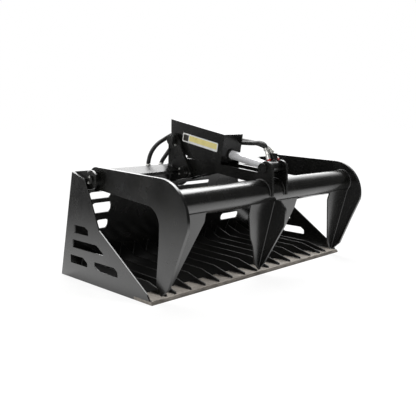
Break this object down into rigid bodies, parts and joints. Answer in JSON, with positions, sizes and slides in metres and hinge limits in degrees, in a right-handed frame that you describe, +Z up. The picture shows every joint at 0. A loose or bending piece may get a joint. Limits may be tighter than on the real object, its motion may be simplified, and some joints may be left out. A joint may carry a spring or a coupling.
{
  "type": "rock grapple attachment",
  "caption": "Black skid steer rock grapple: skeleton bucket of upright tines, one wide clawed lid and a guarded cylinder.",
  "frame": {"origin": "centre of the bounding box in X and Y, at ground height, with the lid closed", "axes": "+Z up, +Y from the cutting edge to the rear quick attach, +X along the cutting edge to the machine's right as seen from the front"},
  "size_m": [1.829, 1.162, 1.0077],
  "materials": {
    "black_paint": "satin",
    "worn_steel": "worn",
    "machined_steel": "machined",
    "zinc_plate": "satin",
    "hard_chrome": "polished",
    "hose_rubber": "matte",
    "red_plastic": "matte",
    "label_film": "gloss"
  },
  "bodies": {
    "bucket": {"cutting_edge": "worn_steel", "side_plate_left": "black_paint", "side_plate_right": "black_paint", "side_caps": "black_paint", "hinge_ear_left": "black_paint", "hinge_ear_right": "black_paint", "back_plate": "black_paint", "top_rail": "black_paint", "attach_lip": "black_paint", "attach_foot": "black_paint", "attach_gussets": "black_paint", "tine_01": "black_paint", "tine_02": "black_paint", "tine_03": "black_paint", "tine_04": "black_paint", "tine_05": "black_paint", "tine_06": "black_paint", "tine_07": "black_paint", "tine_08": "black_paint", "tine_09": "black_paint", "tine_10": "black_paint", "tine_11": "black_paint", "tine_12": "black_paint", "tine_13": "black_paint", "tine_14": "black_paint", "tine_15": "black_paint", "mast_plate_left": "black_paint", "mast_plate_right": "black_paint", "side_hinge_pins": "black_paint", "centre_hinge_pin": "black_paint", "base_pin": "black_paint", "keeper_bolts": "zinc_plate", "hose_bracket": "black_paint", "port_hoses": "hose_rubber", "lead_hoses": "hose_rubber"},
    "lid": {"lid_arm_left": "black_paint", "lid_arm_right": "black_paint", "lid_tube": "black_paint", "centre_claw_plate": "black_paint", "centre_claw_fin": "black_paint", "side_claw_left": "black_paint", "side_claw_right": "black_paint", "centre_arm_left": "black_paint", "centre_arm_right": "black_paint", "hinge_hubs": "black_paint", "rod_pin_ends": "black_paint", "coupler_bracket": "black_paint", "quick_couplers": "zinc_plate", "dust_caps": "red_plastic"},
    "cylinder": {"cylinder_barrel": "black_paint", "cylinder_base_eye": "black_paint", "cylinder_gland": "black_paint", "cylinder_ports": "zinc_plate", "cylinder_guard": "black_paint", "guard_saddles": "black_paint", "label_plate": "label_film"},
    "rod": {"cylinder_piston": "machined_steel", "cylinder_rod": "hard_chrome", "rod_eye": "black_paint", "rod_pin_middle": "zinc_plate"}
  },
  "joints": [
    {"name": "lid_hinge", "type": "hinge", "parent": "bucket", "child": "lid", "pos_m": [0, 0.241, 0.65], "axis": [-1, 0, 0], "range_deg": [0, 60], "deforming": ["lead_hoses"]},
    {"name": "cylinder_pivot", "type": "hinge", "parent": "bucket", "child": "cylinder", "pos_m": [0, 0.358, 0.861], "axis": [-1, 0, 0], "range_deg": [-1, 57], "deforming": ["port_hoses"]},
    {"name": "rod_slide", "type": "slide", "parent": "cylinder", "child": "rod", "axis": [0, -0.983, -0.1838], "range_m": [-0.24, 0.004]}
  ],
  "couplings": [
    {"joint": "cylinder_pivot", "follows": "lid_hinge", "ratio": 0.9331},
    {"joint": "rod_slide", "follows": "lid_hinge", "m_per_rad": -0.22581}
  ]
}
